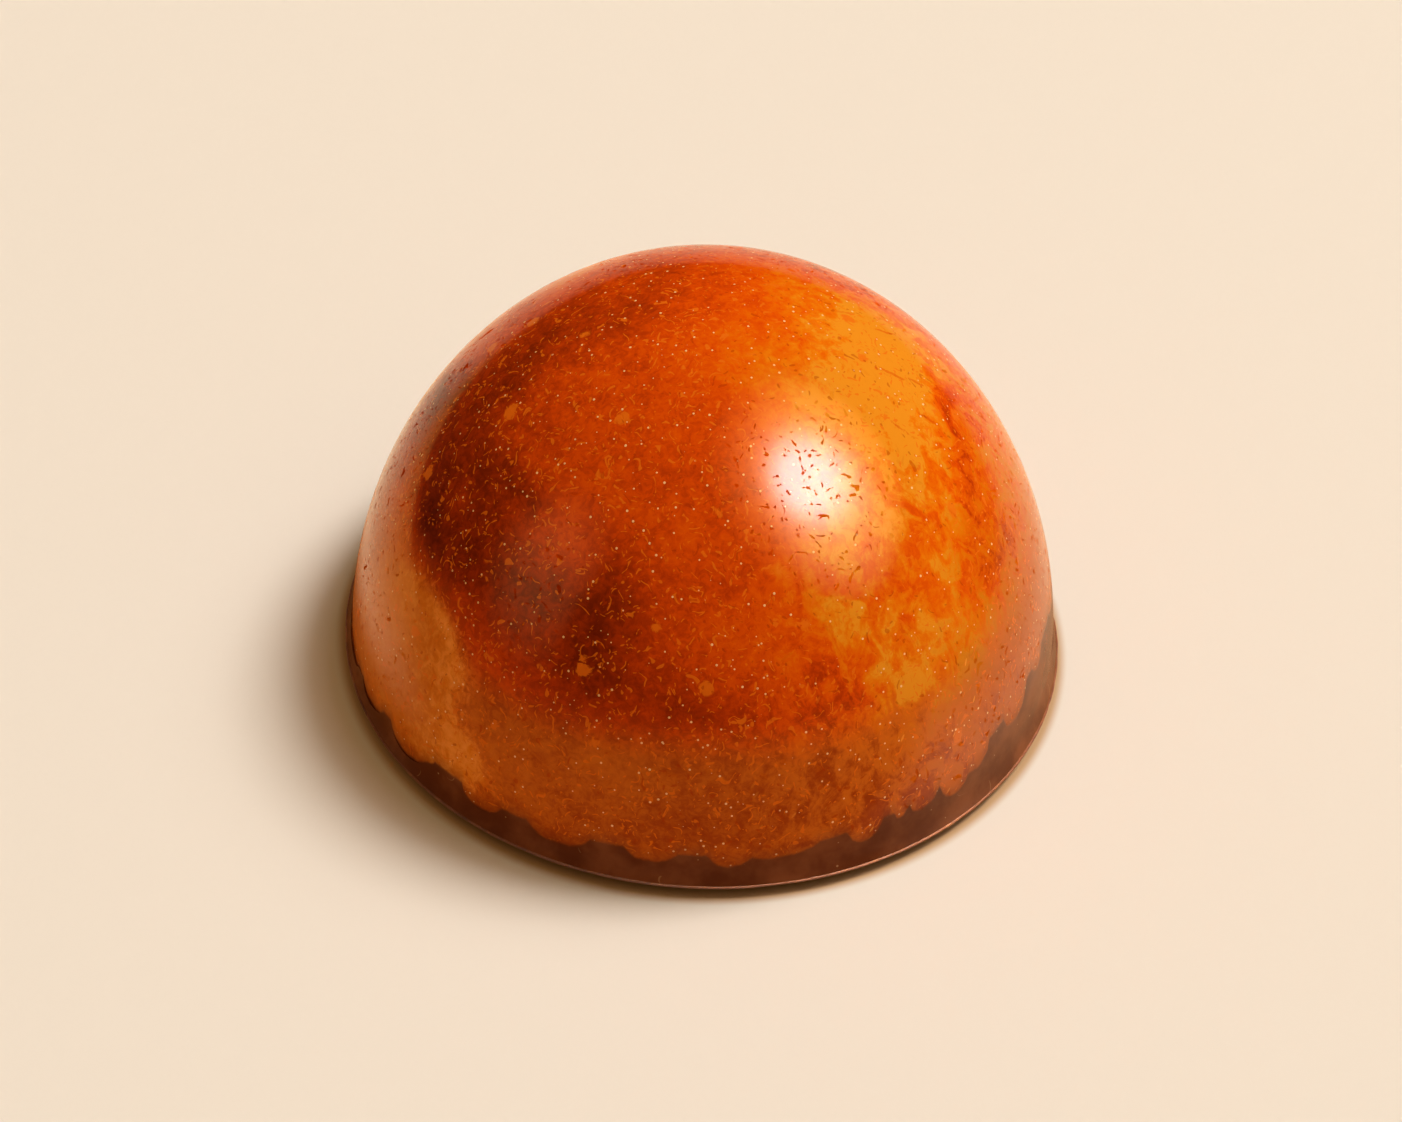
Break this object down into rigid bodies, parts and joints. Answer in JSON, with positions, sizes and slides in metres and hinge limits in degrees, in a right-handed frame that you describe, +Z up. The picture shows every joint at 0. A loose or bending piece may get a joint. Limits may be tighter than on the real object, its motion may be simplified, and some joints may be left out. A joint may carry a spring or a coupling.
{
  "type": "moulded chocolate bonbon",
  "caption": "Moulded dome bonbon of dark chocolate under a glossy marbled film of amber and red cocoa butter, with a thin lip round its base.",
  "frame": {"origin": "centre of the flat foot, on the surface that the bonbon stands on", "axes": "+Z up through the crown, -Y towards the side that the picture shows"},
  "size_m": [0.0306, 0.0306, 0.0176],
  "materials": {
    "colour_film": "glossy coloured cocoa butter, marbled in oxblood, orange-red and amber, with fine flecks and pinholes",
    "chocolate": "dark tempered chocolate with the soft shine of a polished mould",
    "cap": "scraped chocolate with a copper-brown, slightly chipped rim and a matt underside"
  },
  "bodies": {
    "root": {"colour_film": "colour_film", "chocolate_dome": "chocolate", "base_cap": "cap"}
  },
  "joints": []
}
